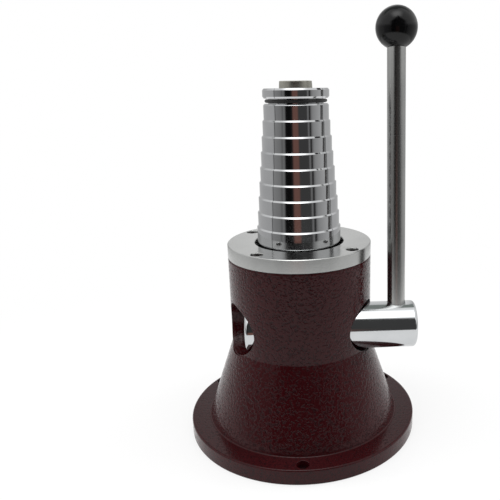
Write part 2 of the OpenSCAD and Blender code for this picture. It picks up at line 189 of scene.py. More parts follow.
def head_side(u, v):
    """Distance of the round head's surface from the mid plane, at u forward and v up from the shaft axis."""
    return np.sqrt(HEAD_R ** 2 - (SHAFT_Y - u) ** 2)


hole = bore(CROSS_R, HOLE_MOUTH, head_side, -1.0)
right_hole = np.stack([hole[..., 2], SHAFT_Y - hole[..., 0], SHAFT_Z + hole[..., 1]], -1)
left_hole = np.stack([-hole[..., 2], SHAFT_Y - hole[..., 0], SHAFT_Z + hole[..., 1]], -1)
bolt_hole = bore(BOLT_HOLE_R, HOLE_MOUTH, lambda u, v: FLANGE_T + 0 * u, -2.0, 48)
bolt_holes = [bolt_hole + [BOLT_R * np.cos(t), BOLT_R * np.sin(t), 0] for t in BOLT_TURNS]
cut(casting, skin("cut_right", right_hole), skin("cut_left", left_hole), skin("cut_bolts", *bolt_holes))


def srgb(code):
    """Linear colour of an sRGB hex value."""
    c = np.array([int(code[i:i + 2], 16) for i in (1, 3, 5)]) / 255
    return (*np.where(c <= 0.04045, c / 12.92, ((c + 0.055) / 1.055) ** 2.4), 1.0)


def add(tree, kind, settings={}, **sockets):
    """Adds a node with its settings. A socket is named with _ for a space, or by number as i0, i1, and takes a
    value or another node's output."""
    made = tree.nodes.new(kind)
    for key, value in settings.items():
        setattr(made, key, value)
    for key, value in sockets.items():
        socket = made.inputs[int(key[1:])] if key[1:].isdigit() else made.inputs[key.replace("_", " ")]
        if isinstance(value, bpy.types.NodeSocket):
            tree.links.new(value, socket)
        else:
            socket.default_value = value
    return made


def new_material(name):
    """Empty node material and its tree."""
    made = bpy.data.materials.new(name)
    made.use_nodes = True
    made.node_tree.nodes.clear()
    return made, made.node_tree


def wear(piece, material):
    """Gives a piece or a CAD node its material."""
    if piece.material_slots:
        piece.material_slots[0].material = material
    else:
        piece.data.materials.append(material)


# Hammer-finish enamel: a thick solvent paint that draws up into smooth mounds 2 to 3 mm across, parted by
# worm-like furrows, and lies flatter where it runs thin on the flange. The eye sees a deep maroon, clouded every
# few centimetres, with a little painted shade darkening the furrows, and a broken gloss.
MOUND, CLOUD, THIN, FULL, MOUND_H = 2.0, 35.71, FLANGE_T + 1.5, FLANGE_T + 6.0, 0.3
enamel, tree = new_material("maroon_hammer_enamel")
place = add(tree, "ShaderNodeTexCoord").outputs["Object"]
mounds = add(tree, "ShaderNodeTexNoise", Vector=place, Scale=1 / (MOUND * MM), Detail=1.0, Distortion=0.6)
height = add(tree, "ShaderNodeSeparateXYZ", Vector=place)
thick = add(tree, "ShaderNodeMapRange", {"interpolation_type": "SMOOTHSTEP"}, Value=height.outputs[2],
            From_Min=THIN * MM, From_Max=FULL * MM, To_Min=0.25, To_Max=1.0)
furrow = add(tree, "ShaderNodeMapRange", {"interpolation_type": "SMOOTHSTEP"}, Value=mounds.outputs["Fac"],
             From_Min=0.3, From_Max=0.55)
relief = add(tree, "ShaderNodeMath", {"operation": "MULTIPLY"}, i0=furrow.outputs[0], i1=thick.outputs[0])
bump = add(tree, "ShaderNodeBump", Strength=0.55, Distance=MOUND_H * MM, Height=relief.outputs[0])
cloud = add(tree, "ShaderNodeTexNoise", Vector=place, Scale=1 / (CLOUD * MM), Detail=3.0)
# Painted shade: the furrows take the darker maroon and the mounds the lighter one.
tone = add(tree, "ShaderNodeMix", {"data_type": "RGBA"}, i0=furrow.outputs[0], i6=srgb("#1E0508"),
           i7=srgb("#300A0D"))
depth = add(tree, "ShaderNodeMapRange", Value=cloud.outputs["Fac"], From_Min=0.3, From_Max=0.7, To_Max=0.5)
tint = add(tree, "ShaderNodeMix", {"data_type": "RGBA"}, i0=depth.outputs[0], i6=tone.outputs[2],
           i7=srgb("#28070A"))
gloss = add(tree, "ShaderNodeMapRange", Value=furrow.outputs[0], To_Min=0.3, To_Max=0.13)
paint = add(tree, "ShaderNodeBsdfPrincipled", Base_Color=tint.outputs[2], Roughness=gloss.outputs[0], IOR=1.45,
            Specular_IOR_Level=0.24, Normal=bump.outputs[0])
add(tree, "ShaderNodeOutputMaterial", Surface=paint.outputs[0])
wear(casting, enamel)
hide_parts("base_casting")
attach(casting, "base")

# ---------------------------------------------------------------- bushes, wear ring and guide pins
# Plain bearings of leaded bronze are pressed into the casting for the shaft and the rack bar.
# A hardened ring and four dowel pins carry the segments' feet. Little of it shows, so the solids stay.

# Leaded bronze, bored and reamed: warm yellow-brown, dull, with a grain of tool marks, drawn coarser than the
# real ones, and patches of tarnish a centimetre across.
REAM_MARK, REAM_H, TARNISH = 0.5556, 0.05, 11.11
bronze, tree = new_material("leaded_bronze")
place = add(tree, "ShaderNodeTexCoord").outputs["Object"]
marks = add(tree, "ShaderNodeTexNoise", Vector=place, Scale=1 / (REAM_MARK * MM), Detail=2.0)
patches = add(tree, "ShaderNodeTexNoise", Vector=place, Scale=1 / (TARNISH * MM), Detail=3.0)
tone = add(tree, "ShaderNodeMix", {"data_type": "RGBA"}, i0=patches.outputs["Fac"], i6=srgb("#A9823F"),
           i7=srgb("#7D5A2A"))
gloss = add(tree, "ShaderNodeMapRange", Value=marks.outputs["Fac"], To_Min=0.28, To_Max=0.5)
bump = add(tree, "ShaderNodeBump", Strength=0.15, Distance=REAM_H * MM, Height=marks.outputs["Fac"])
metal = add(tree, "ShaderNodeBsdfPrincipled", Base_Color=tone.outputs[2], Metallic=1.0, Roughness=gloss.outputs[0],
            Normal=bump.outputs[0])
add(tree, "ShaderNodeOutputMaterial", Surface=metal.outputs[0])
for name in ("guide_bush_upper", "guide_bush_lower", "shaft_bush_left", "shaft_bush_right"):
    wear(frame["nodes"][name], bronze)


def lathe_metal(name, pitch, tones, patch, detail, rough, ridge, ridge_h, centre=(0, 0, 0), turn=(0, 0, 0)):
    """Bare metal with fine marks round its axis, which is Z once moved by centre and turn. The marks are
    noise read at (distance from the axis, place along it), so they change only along the radius and the axis,
    with grooves about pitch millimetres apart. They take the roughness from rough[0] to rough[1] and give a
    bump of strength ridge and height ridge_h. Patches about patch across go from one tone to the other. All
    four lengths are millimetres, and the grooves are drawn coarser than real ones where those wouldn't show."""
    made, tree = new_material(name)
    place = add(tree, "ShaderNodeTexCoord").outputs["Object"]
    own = add(tree, "ShaderNodeMapping", {"vector_type": "TEXTURE"}, Vector=place,
              Location=[c * MM for c in centre], Rotation=turn)
    xyz = add(tree, "ShaderNodeSeparateXYZ", Vector=own.outputs[0])
    flat = add(tree, "ShaderNodeCombineXYZ", X=xyz.outputs[0], Y=xyz.outputs[1])
    radius = add(tree, "ShaderNodeVectorMath", {"operation": "LENGTH"}, i0=flat.outputs[0])
    section = add(tree, "ShaderNodeCombineXYZ", X=radius.outputs["Value"], Y=xyz.outputs[2])
    rings = add(tree, "ShaderNodeTexNoise", {"noise_dimensions": "2D"}, Vector=section.outputs[0],
                Scale=1 / (pitch * MM), Detail=2.0)
    patches = add(tree, "ShaderNodeTexNoise", Vector=own.outputs[0], Scale=1 / (patch * MM), Detail=detail)
    tone = add(tree, "ShaderNodeMix", {"data_type": "RGBA"}, i0=patches.outputs["Fac"], i6=srgb(tones[0]),
               i7=srgb(tones[1]))
    gloss = add(tree, "ShaderNodeMapRange", Value=rings.outputs["Fac"], To_Min=rough[0], To_Max=rough[1])
    bump = add(tree, "ShaderNodeBump", Strength=ridge, Distance=ridge_h * MM, Height=rings.outputs["Fac"])
    metal = add(tree, "ShaderNodeBsdfPrincipled", Base_Color=tone.outputs[2], Metallic=1.0,
                Roughness=gloss.outputs[0], Normal=bump.outputs[0])
    add(tree, "ShaderNodeOutputMaterial", Surface=metal.outputs[0])
    return made


# Turned tool steel, left as it came off the lathe: grey with a slight olive cast, fine rings 0.3 mm apart.
turned_steel = lathe_metal("turned_tool_steel", pitch=0.3, tones=("#BCBAB0", "#9B9990"), patch=8.333, detail=3.0,
                           rough=(0.28, 0.45), ridge=0.3, ridge_h=0.04)
for name in ("wear_ring", "segment_guide_pins"):
    wear(frame["nodes"][name], turned_steel)

# ---------------------------------------------------------------- top plate
# A steel ring that closes the head over the segments' feet, with a hole for the mandrel.
# Turned, chamfered, surface ground on top and held by four socket screws in counterbores.
PLATE_HOLE_R, PLATE_T, PLATE_CHAMFER, PLATE_BREAK = 34.2, 10.0, 0.5, 0.12
PLATE_Z = HEAD_Z + PLATE_T
SCREW_RING, SCREW_ANGLES = 49.0, np.radians([51.0, 141.0, 231.0, 321.0])
SINK_R, SINK_Z, SINK_MOUTH, CLEAR_R = 4.5, 147.0, 0.7, 2.8
plate_corners = [(HEAD_R, HEAD_Z), (HEAD_R, PLATE_Z - PLATE_CHAMFER), (HEAD_R - PLATE_CHAMFER, PLATE_Z),
                 (PLATE_HOLE_R + PLATE_CHAMFER, PLATE_Z), (PLATE_HOLE_R, PLATE_Z - PLATE_CHAMFER),
                 (PLATE_HOLE_R, HEAD_Z)]
plate_loop = rounded(plate_corners, PLATE_BREAK, closed=True, arc=3, support=0.05)
plate = skin("top_plate_ring", revolve(plate_loop, COLUMNS), ring=True)
sink = bore(SINK_R, SINK_MOUTH, lambda u, v: PLATE_Z + 0 * u, SINK_Z, 64)
clear = revolve(np.array([(0, HEAD_Z - 2), (CLEAR_R, HEAD_Z - 2), (CLEAR_R, SINK_Z + 1), (0, SINK_Z + 1)]), 48)
spots = [np.array([SCREW_RING * np.cos(t), SCREW_RING * np.sin(t), 0]) for t in SCREW_ANGLES]
cut(plate, skin("cut_sinks", *[sink + s for s in spots]), skin("cut_clear", *[clear + s for s in spots]))

# Ground steel: pale grey, half bright, with very fine ground rings that blur what it reflects.
ground_steel = lathe_metal("ground_steel", pitch=0.25, tones=("#BEBFBD", "#A9AAA9"), patch=22.22, detail=4.0,
                           rough=(0.16, 0.3), ridge=0.2, ridge_h=0.02)
wear(plate, ground_steel)
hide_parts("top_plate")
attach(plate, "base")

# ---------------------------------------------------------------- plate screws
# Four socket head cap screws hold the plate, with their heads just below its face.
# Forged and rolled alloy steel with a black oxide finish; a hexagon key socket in each head.
SCREW_R, HEAD_SCREW_R, SCREW_TOP, SCREW_END = 2.5, 4.2, 152.0, 132.0
HEX_R, HEX_DEPTH, HEX_LEAD, HEX_MOUTH_R = 2.3, 2.5, 0.25, 2.55
HEAD_ROUND, HEAD_STEP, TIP_CHAMFER = 0.5, 0.15, 0.6
screw_turn = np.linspace(0, 2 * np.pi, 48, endpoint=False)
hexagon = HEX_R * np.cos(np.pi / 6) / np.cos(np.mod(screw_turn, np.pi / 3) - np.pi / 6)
screw_rows = [(0, SCREW_TOP - HEX_DEPTH), (hexagon, SCREW_TOP - HEX_DEPTH), (hexagon, SCREW_TOP - HEX_LEAD),
              (HEX_MOUTH_R, SCREW_TOP), (HEAD_SCREW_R - HEAD_ROUND, SCREW_TOP),
              (HEAD_SCREW_R - HEAD_STEP, SCREW_TOP - HEAD_STEP), (HEAD_SCREW_R, SCREW_TOP - HEAD_ROUND),
              (HEAD_SCREW_R, SINK_Z), (SCREW_R, SINK_Z), (SCREW_R, SCREW_END + TIP_CHAMFER),
              (SCREW_R - TIP_CHAMFER, SCREW_END), (0, SCREW_END)]
screw = np.array([np.stack([r * np.cos(screw_turn), r * np.sin(screw_turn), 0 * screw_turn + z], -1)
                  for r, z in screw_rows])
screws = skin("plate_socket_screws", *[screw + s for s in spots])

# Black oxide on steel: near black with a dry, slightly oily sheen, a little browner where rubbed. The grain is
# drawn coarser than the real one, which wouldn't show.
OXIDE_GRAIN = 0.6667
black_oxide, tree = new_material("black_oxide_steel")
place = add(tree, "ShaderNodeTexCoord").outputs["Object"]
grains = add(tree, "ShaderNodeTexNoise", Vector=place, Scale=1 / (OXIDE_GRAIN * MM), Detail=3.0)
tone = add(tree, "ShaderNodeMix", {"data_type": "RGBA"}, i0=grains.outputs["Fac"], i6=srgb("#26262A"),
           i7=srgb("#48443F"))
gloss = add(tree, "ShaderNodeMapRange", Value=grains.outputs["Fac"], To_Min=0.3, To_Max=0.5)
metal = add(tree, "ShaderNodeBsdfPrincipled", Base_Color=tone.outputs[2], Metallic=0.85, Roughness=gloss.outputs[0])
add(tree, "ShaderNodeOutputMaterial", Surface=metal.outputs[0])
wear(screws, black_oxide)
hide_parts("plate_screws")
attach(screws, "base")

# ---------------------------------------------------------------- mandrel segments
# A steel mandrel turned with nine bevelled steps, a ring groove and a lip, bored to a taper, then sawn into
# four. The outside is hard chromed and mirror polished, and the sawn edges are broken with a stone.
STEP_N, STEP_R, STEP_GROW, STEP_H, BEVEL_H = 9, 32.0, 1.0, 11.25, 1.1
LOWEST_Z, FOOT_R, FOOT_LOW, FOOT_TOP = 166.1, 37.0, 131.1, 142.8
GROOVE_R, LIP_R, LIP_LOW, LIP_TOP, LIP_CHAMFER, LIP_BEVEL = 20.3, 24.4, 259.7, 266.7, 0.9, 1.3
FOOT_GROOVE_R, FOOT_GROOVE = 34.5, (135.4, 138.5)
FOOT_BREAK, STEP_BREAK, LIP_BREAK, BORE_LIP = 0.25, 0.1, 0.15, 0.3
KERF, SEAM_BREAK, SPREAD, TAPER, BORE_GAP = 0.3, 0.06, 1.2566, 0.06, 0.15
NOSE_R, NOSE_Z = 11.85, 271.8
TOP_STEP_Z = LOWEST_Z + (STEP_N - 1) * STEP_H
QUARTERS = {"front": np.radians(-84.0), "right": np.radians(6.0), "back": np.radians(96.0), "left": np.radians(186.0)}
k = np.arange(STEP_N)
steps = np.stack([np.stack([STEP_R - k * STEP_GROW, LOWEST_Z + k * STEP_H - BEVEL_H], -1),
                  np.stack([STEP_R - (k + 1) * STEP_GROW, LOWEST_Z + k * STEP_H], -1)], 1).reshape(-1, 2)


def bore_r(z):
    """Radius of the tapered bore about its own axis: the expander's radius there, the spread and a gap."""
    return NOSE_R + (NOSE_Z - z) * TAPER + SPREAD + BORE_GAP


outside = np.concatenate([
    [(FOOT_R, FOOT_LOW), (FOOT_R, FOOT_GROOVE[0]), (FOOT_GROOVE_R, FOOT_GROOVE[0]), (FOOT_GROOVE_R, FOOT_GROOVE[1]),
     (FOOT_R, FOOT_GROOVE[1]), (FOOT_R, FOOT_TOP), (STEP_R, FOOT_TOP)],
    steps,
    [(GROOVE_R, TOP_STEP_Z), (GROOVE_R, LIP_LOW), (LIP_R - LIP_CHAMFER, LIP_LOW), (LIP_R, LIP_LOW + LIP_BEVEL),
     (LIP_R, LIP_TOP - LIP_BEVEL), (LIP_R - LIP_CHAMFER, LIP_TOP)]])
bored = np.array([(bore_r(LIP_TOP) - SPREAD, LIP_TOP), (bore_r(FOOT_LOW) - SPREAD, FOOT_LOW)])
segment_corners = np.concatenate([outside, bored])
segment_rounds = np.repeat([FOOT_BREAK, STEP_BREAK, LIP_BREAK, BORE_LIP], [7, 2 * STEP_N, 6, 2])


def inset(corners, depth):
    """Closed outline moved inward: each side shifts left by depth and the new corners are where they cross."""
    side = np.roll(corners, -1, 0) - corners
    side /= np.linalg.norm(side, axis=1, keepdims=True)
    left = np.stack([-side[:, 1], side[:, 0]], -1)
    before, before_left = np.roll(side, 1, 0), np.roll(left, 1, 0)
    across = (before * left).sum(1, keepdims=True)
    along = np.where(np.abs(across) > 1e-6, (1 - (before_left * left).sum(1, keepdims=True)) /
                     np.where(np.abs(across) > 1e-6, across, 1), 0)
    return corners + depth * (before_left + before * along)


def segment(turn):
    """Quarter of the mandrel: its section loop carried round from seam to seam. The seam plane lies half a saw
    cut from the diagonal, so a point at radius r ends at 45 degrees less asin(half cut / r). The bore's
    axis lies SPREAD behind, so its radius at angle f is sqrt(R^2 - (S sin f)^2) - S cos f."""
    full = rounded(segment_corners, segment_rounds, closed=True, arc=2, support=0.05)
    small = rounded(inset(segment_corners, SEAM_BREAK), np.maximum(segment_rounds - SEAM_BREAK, 0.03),
                    closed=True, arc=2, support=0.03)
    inner = np.arange(len(full)) >= 5 * len(outside)          # five points to a corner
    share = np.linspace(-1, 1, 41)
    columns = []
    for loop, gap, at in ((small, KERF / 2, share[:1]), (full, KERF / 2 + SEAM_BREAK, share),
                          (small, KERF / 2, share[-1:])):
        r, z = loop[:, :1], loop[:, 1:]
        f = at * (np.pi / 4 - np.arcsin(gap / r))
        R = r + SPREAD
        r_bore = np.sqrt(R ** 2 - (SPREAD * np.sin(f)) ** 2) - SPREAD * np.cos(f)
        f_bore = at * (np.pi / 4 - np.arcsin(gap / r_bore[:, -1:]))
        f = np.where(inner[:, None], f_bore, f)
        r = np.where(inner[:, None], np.sqrt(R ** 2 - (SPREAD * np.sin(f)) ** 2) - SPREAD * np.cos(f), r)
        columns.append(np.stack([r * np.cos(f + turn), r * np.sin(f + turn), z + 0 * f], -1))
    return np.concatenate(columns, 1)


# Mirror-polished hard chrome on steel: neutral bright grey, sharp reflections, with faint polishing rings.
polished = lathe_metal("mirror_polished_chrome", pitch=0.5, tones=("#CDCECF", "#BDBEC0"), patch=16.667, detail=4.0,
                       rough=(0.05, 0.12), ridge=0.08, ridge_h=0.02)
for side, turn in QUARTERS.items():
    quarter = skin(f"mandrel_{side}", segment(turn), ring=True, ends=True, sharp=24)
    wear(quarter, polished)
    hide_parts(f"mandrel_segment_{side}")
    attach(quarter, f"segment_{side}")

# ---------------------------------------------------------------- rubber rings
# Two O-rings, one under the lip and one round the feet, pull the segments in on the expander.
# Moulded nitrile rubber. Each is drawn as four arcs that ride on the segments, with slightly thinner ends
# that reach into the next arc, so the ring stays whole as it stretches.
RING_SECTION, REACH, REACH_SHARE, CLOSE_L = 2.5, 2.4, 0.96, 1.6
RINGS = {"upper_o_ring": (21.59, 257.9), "lower_o_ring": (35.79, 136.95)}        # radius and height


def ring_arc(radius, height, turn):
    """Part of a torus: a round section carried along an arc. Past the seam the section shrinks to REACH_SHARE
    of its size, and over its last CLOSE_L it closes as the root of 1 - t squared does."""
    over = np.linspace(0, 1, 9)
    half = np.pi / 4 * radius
    length = np.concatenate([-half - REACH * over[::-1], np.linspace(-half, half, 33)[1:-1], half + REACH * over])
    past = np.abs(length) - half
    close = np.clip((past - (REACH - CLOSE_L)) / CLOSE_L, 0, 1)
    size = RING_SECTION / 2 * np.where(past > 1e-6, REACH_SHARE, 1.0) * np.sqrt(1 - close ** 2)
    a = np.linspace(0, 2 * np.pi, 32, endpoint=False)[:, None]
    r, f = radius + size * np.cos(a), length / radius + turn
    return np.stack([r * np.cos(f), r * np.sin(f), height + size * np.sin(a)], -1)


# Nitrile rubber: black, matt to half matt, with a faint grey bloom in spots of a millimetre or two.
BLOOM, BLOOM_H = 1.4286, 0.05
rubber, tree = new_material("nitrile_rubber")
place = add(tree, "ShaderNodeTexCoord").outputs["Object"]
bloom = add(tree, "ShaderNodeTexNoise", Vector=place, Scale=1 / (BLOOM * MM), Detail=3.0)
tone = add(tree, "ShaderNodeMix", {"data_type": "RGBA"}, i0=bloom.outputs["Fac"], i6=srgb("#090909"),
           i7=srgb("#141415"))
gloss = add(tree, "ShaderNodeMapRange", Value=bloom.outputs["Fac"], To_Min=0.32, To_Max=0.5)
bump = add(tree, "ShaderNodeBump", Strength=0.1, Distance=BLOOM_H * MM, Height=bloom.outputs["Fac"])
soft = add(tree, "ShaderNodeBsdfPrincipled", Base_Color=tone.outputs[2], Roughness=gloss.outputs[0], IOR=1.5,
           Normal=bump.outputs[0])
add(tree, "ShaderNodeOutputMaterial", Surface=soft.outputs[0])
for node, (radius, height) in RINGS.items():
    for side, turn in QUARTERS.items():
        arc = skin(f"{node}_{side}", ring_arc(radius, height, turn).transpose(1, 0, 2))
        wear(arc, rubber)
        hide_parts(node)
        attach(arc, f"segment_{side}")

# ---------------------------------------------------------------- expander and rack
# A long taper of turned tool steel rises in the bore and spreads the segments; only its nose shows.
# The rack bar is pinned into its foot. Both are machined all over.
SEAT_Z, SPIGOT_R, SPIGOT_L, PIN_R, PIN_Z = 120.1, 9.04, 20.3, 3.04, 130.1
NOSE_ROUND, SEAT_ROUND, SPIGOT_ROUND, PIN_HALF = 0.5, 0.4, 0.3, 30.0
cone_corners = [(0, NOSE_Z), (NOSE_R, NOSE_Z), (NOSE_R + (NOSE_Z - SEAT_Z) * TAPER, SEAT_Z), (SPIGOT_R, SEAT_Z),
                (SPIGOT_R, SEAT_Z + SPIGOT_L), (0, SEAT_Z + SPIGOT_L)]
cone_rounds = [0, NOSE_ROUND, SEAT_ROUND, SPIGOT_ROUND, SPIGOT_ROUND, 0]
cone = skin("expander_taper", revolve(rounded(cone_corners, cone_rounds), 160))
pin_profile = np.array([(0, -PIN_HALF), (PIN_R, -PIN_HALF), (PIN_R, PIN_HALF), (0, PIN_HALF)])
cut(cone, skin("cut_pin", revolve(pin_profile, 48)[..., [2, 1, 0]] + [0, 0, PIN_Z]))
wear(cone, turned_steel)
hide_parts("expander_cone")
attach(cone, "expander")
for name in ("rack_bar", "cone_pin"):
    wear(frame["nodes"][name], turned_steel)

# ---------------------------------------------------------------- pinion shaft
# One thick steel shaft across the head: pinion teeth in the middle, and a polished end on the right that is
# the lever's hub, cross drilled for the rod. Turned, hobbed, chromed and polished, with rounded ends.
SHAFT_R, SHAFT_LEFT, SHAFT_RIGHT, SHAFT_ROUND = 17.8, -42.5, 87.0, 2.5
GEAR_M, GEAR_N, GEAR_HALF, PRESSURE, BACKLASH = 2.5, 12, 12.0, np.radians(20.0), 0.15
ROOT_R, TIP_R, PITCH_R, TOOTH_HALF = 12.8, 17.3, 15.0, np.pi * GEAR_M / 4 - BACKLASH
ROD_X, ROD_R, ROD_LEAN, ROD_BACK, ROD_SEAT = 73.0, 6.75, np.radians(0.2), np.radians(5.0), 10.0
ROD_GAP, ROD_MOUTH, GRUB_R, GRUB_IN, GRUB_MOUTH = 0.04, 0.45, 4.04, 79.8, 0.4
gear_turn = np.linspace(0, 2 * np.pi, 240, endpoint=False)
# Each flank is the involute of the base circle: at radius r it lies inv(acos(base / r)) round from its root,
# where inv(x) is tan x - x.
base_r = PITCH_R * np.cos(PRESSURE)
radii = np.linspace(base_r, TIP_R, 12)
roll = np.arccos(base_r / radii)
flank = TOOTH_HALF / PITCH_R + np.tan(PRESSURE) - PRESSURE - (np.tan(roll) - roll)
from_tooth = np.abs(np.mod(gear_turn + np.pi / GEAR_N, 2 * np.pi / GEAR_N) - np.pi / GEAR_N)
teeth = np.interp(from_tooth, np.concatenate([flank[::-1], flank[:1] + 0.02]),
                  np.concatenate([radii[::-1], [ROOT_R]]))


def along_x(rows):
    """Rows of (x, r): each is carried round the shaft axis, r being one radius or one for each angle."""
    y, z = np.cos(gear_turn), np.sin(gear_turn)
    return np.array([np.stack([0 * gear_turn + x, SHAFT_Y + r * y, SHAFT_Z + r * z], -1) for x, r in rows])


left_end = rounded([(SHAFT_LEFT, 0), (SHAFT_LEFT, SHAFT_R), (-GEAR_HALF, SHAFT_R)], [0, SHAFT_ROUND, 0], arc=10)
right_end = rounded([(GEAR_HALF, SHAFT_R), (SHAFT_RIGHT, SHAFT_R), (SHAFT_RIGHT, GRUB_R), (GRUB_IN, GRUB_R),
                     (GRUB_IN, 0)], [0, SHAFT_ROUND, GRUB_MOUTH, 0, 0], arc=10)
shaft = skin("pinion_shaft_hub", along_x([*left_end, (-GEAR_HALF, teeth), (GEAR_HALF, teeth), *right_end]))


def on_rod(points):
    """Places points of the lever rod's own frame, with Z along the rod from the shaft axis up: leant to the
    back about X, then toward the mandrel about Y."""
    x, y, z = points[..., 0], points[..., 1], points[..., 2]
    y, z = y * np.cos(ROD_BACK) + z * np.sin(ROD_BACK), z * np.cos(ROD_BACK) - y * np.sin(ROD_BACK)
    x, z = x * np.cos(ROD_LEAN) - z * np.sin(ROD_LEAN), z * np.cos(ROD_LEAN) + x * np.sin(ROD_LEAN)
    return np.stack([ROD_X + x, SHAFT_Y + y, SHAFT_Z + z], -1)


def hub_top(u, v):
    """Height of the hub's round surface over its axis, in the rod's frame: the circle over v, tipped along u."""
    return np.sqrt(SHAFT_R ** 2 - v ** 2) + u * np.tan(ROD_LEAN)


cut(shaft, skin("cut_rod", on_rod(bore(ROD_R + ROD_GAP, ROD_MOUTH, hub_top, -ROD_SEAT))))

# The same hard chrome, a touch brighter, with its polishing rings round the shaft's own axis.
hub_chrome = lathe_metal("mirror_polished_shaft", pitch=0.5, tones=("#D2D4D5", "#C2C4C6"), patch=16.667, detail=4.0,
                         rough=(0.05, 0.13), ridge=0.08, ridge_h=0.02, centre=(0, SHAFT_Y, SHAFT_Z),
                         turn=(0, np.pi / 2, 0))
wear(shaft, hub_chrome)
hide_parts("pinion_shaft")
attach(shaft, "lever")

# ---------------------------------------------------------------- lever rod and grub screw
# A drawn steel rod, centreless ground, that leans to the back at its stop. It sits in the hub's cross hole,
# clamped by a socket grub screw in the hub's end, and its threaded end carries the knob.
KNOB_H, KNOB_R, STUD_R, STUD_L = 218.0, 15.0, 4.0, 18.0
KNOB_FLAT = KNOB_H - np.sqrt(KNOB_R ** 2 - ROD_R ** 2)
rod_corners = [(0, -ROD_SEAT), (ROD_R, -ROD_SEAT), (ROD_R, KNOB_FLAT), (STUD_R, KNOB_FLAT),
               (STUD_R, KNOB_FLAT + STUD_L), (0, KNOB_FLAT + STUD_L)]
rod_rounds = [0, 0.4, 0.2, 0.1, 0.4, 0]
rod = skin("lever_rod_ground", on_rod(revolve(rounded(rod_corners, rod_rounds), 96)))

# Centreless ground steel: satin grey, with very fine rings across the rod that smear reflections lengthwise.
satin_steel = lathe_metal("centreless_ground_steel", pitch=0.2, tones=("#B9B9B7", "#A3A4A3"), patch=14.286,
                          detail=4.0, rough=(0.21, 0.29), ridge=0.06, ridge_h=0.02,
                          centre=(ROD_X, SHAFT_Y, SHAFT_Z), turn=(-ROD_BACK, -ROD_LEAN, 0))
wear(rod, satin_steel)
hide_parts("lever_rod")
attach(rod, "lever")
wear(frame["nodes"]["lever_grub_screw"], black_oxide)

# ---------------------------------------------------------------- ball knob
# A compression-moulded phenolic ball with a brass insert that screws on the rod's end.
# The mould leaves it glossy, and handling dulls it a little.
INSERT_R, INSERT_TOP = 6.04, KNOB_FLAT + STUD_L + 1
from_top = np.linspace(0, np.pi - np.arcsin(ROD_R / KNOB_R), 72)[1:-1]
ball_side = np.stack([KNOB_R * np.sin(from_top), KNOB_H + KNOB_R * np.cos(from_top)], -1)
ball_foot = [(ROD_R - 0.02, KNOB_FLAT + 0.03), (ROD_R - 0.1, KNOB_FLAT), (INSERT_R, KNOB_FLAT),
             (INSERT_R, INSERT_TOP), (0, INSERT_TOP)]
ball = skin("ball_knob_moulded", on_rod(revolve(np.concatenate([[(0, KNOB_H + KNOB_R)], ball_side, ball_foot]), 128)))

# Phenolic moulding: deep black, glossy, with a trace of orange peel and patches of fine handling haze.
HAZE, PEEL, PEEL_H = 6.25, 2.0, 0.1
phenolic, tree = new_material("black_phenolic_moulding")
place = add(tree, "ShaderNodeTexCoord").outputs["Object"]
haze = add(tree, "ShaderNodeTexNoise", Vector=place, Scale=1 / (HAZE * MM), Detail=5.0)
peel = add(tree, "ShaderNodeTexNoise", Vector=place, Scale=1 / (PEEL * MM), Detail=1.0)
tone = add(tree, "ShaderNodeMix", {"data_type": "RGBA"}, i0=haze.outputs["Fac"], i6=srgb("#040405"),
           i7=srgb("#0A0A0B"))
gloss = add(tree, "ShaderNodeMapRange", Value=haze.outputs["Fac"], To_Min=0.1, To_Max=0.2)
bump = add(tree, "ShaderNodeBump", Strength=0.05, Distance=PEEL_H * MM, Height=peel.outputs["Fac"])
plastic = add(tree, "ShaderNodeBsdfPrincipled", Base_Color=tone.outputs[2], Roughness=gloss.outputs[0], IOR=1.5,
              Specular_IOR_Level=0.3, Normal=bump.outputs[0])
add(tree, "ShaderNodeOutputMaterial", Surface=plastic.outputs[0])
wear(ball, phenolic)
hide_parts("ball_knob")
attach(ball, "lever")
wear(frame["nodes"]["knob_insert"], bronze)

# ---------------------------------------------------------------- floor, light and camera
# A pale seamless floor under a white studio. It shows white to the camera and to polished metal, with the
# object's soft shadow kept. The side behind the camera is dark, as it is in a photographer's studio.
FLOOR_R, FLOOR_SIDES = 0.56, 128
floor_turn = np.linspace(0, 2 * np.pi, FLOOR_SIDES, endpoint=False)
floor_edge = np.stack([FLOOR_R * np.cos(floor_turn), FLOOR_R * np.sin(floor_turn), 0 * floor_turn], -1)
floor_mesh = bpy.data.meshes.new("floor")
floor_mesh.from_pydata(floor_edge.tolist(), [], [tuple(range(FLOOR_SIDES))])
floor = bpy.data.objects.new("floor", floor_mesh)
bpy.context.scene.collection.objects.link(floor)

# White paper: matt, and shown as plain white further out, where no shadow falls.
paper, tree = new_material("white_paper_floor")
path = add(tree, "ShaderNodeLightPath")
seen = add(tree, "ShaderNodeMath", {"operation": "ADD"}, i0=path.outputs["Is Camera Ray"],
           i1=path.outputs["Is Glossy Ray"])
seen = add(tree, "ShaderNodeMath", {"operation": "ADD", "use_clamp": True}, i0=seen.outputs[0],
           i1=path.outputs["Is Transmission Ray"])
place = add(tree, "ShaderNodeTexCoord").outputs["Object"]
away = add(tree, "ShaderNodeVectorMath", {"operation": "LENGTH"}, i0=place)
fade = add(tree, "ShaderNodeMapRange", {"interpolation_type": "SMOOTHSTEP"}, Value=away.outputs["Value"],
           From_Min=0.1, From_Max=0.45, To_Min=0.72, To_Max=1.0)
share = add(tree, "ShaderNodeMath", {"operation": "MULTIPLY"}, i0=seen.outputs[0], i1=fade.outputs[0])
matt = add(tree, "ShaderNodeBsdfDiffuse", Color=srgb("#EDEDED"))
white = add(tree, "ShaderNodeEmission", Color=(1, 1, 1, 1), Strength=1.0)
mixed = add(tree, "ShaderNodeMixShader", i0=share.outputs[0], i1=matt.outputs[0], i2=white.outputs[0])
add(tree, "ShaderNodeOutputMaterial", Surface=mixed.outputs[0])
floor_mesh.materials.append(paper)

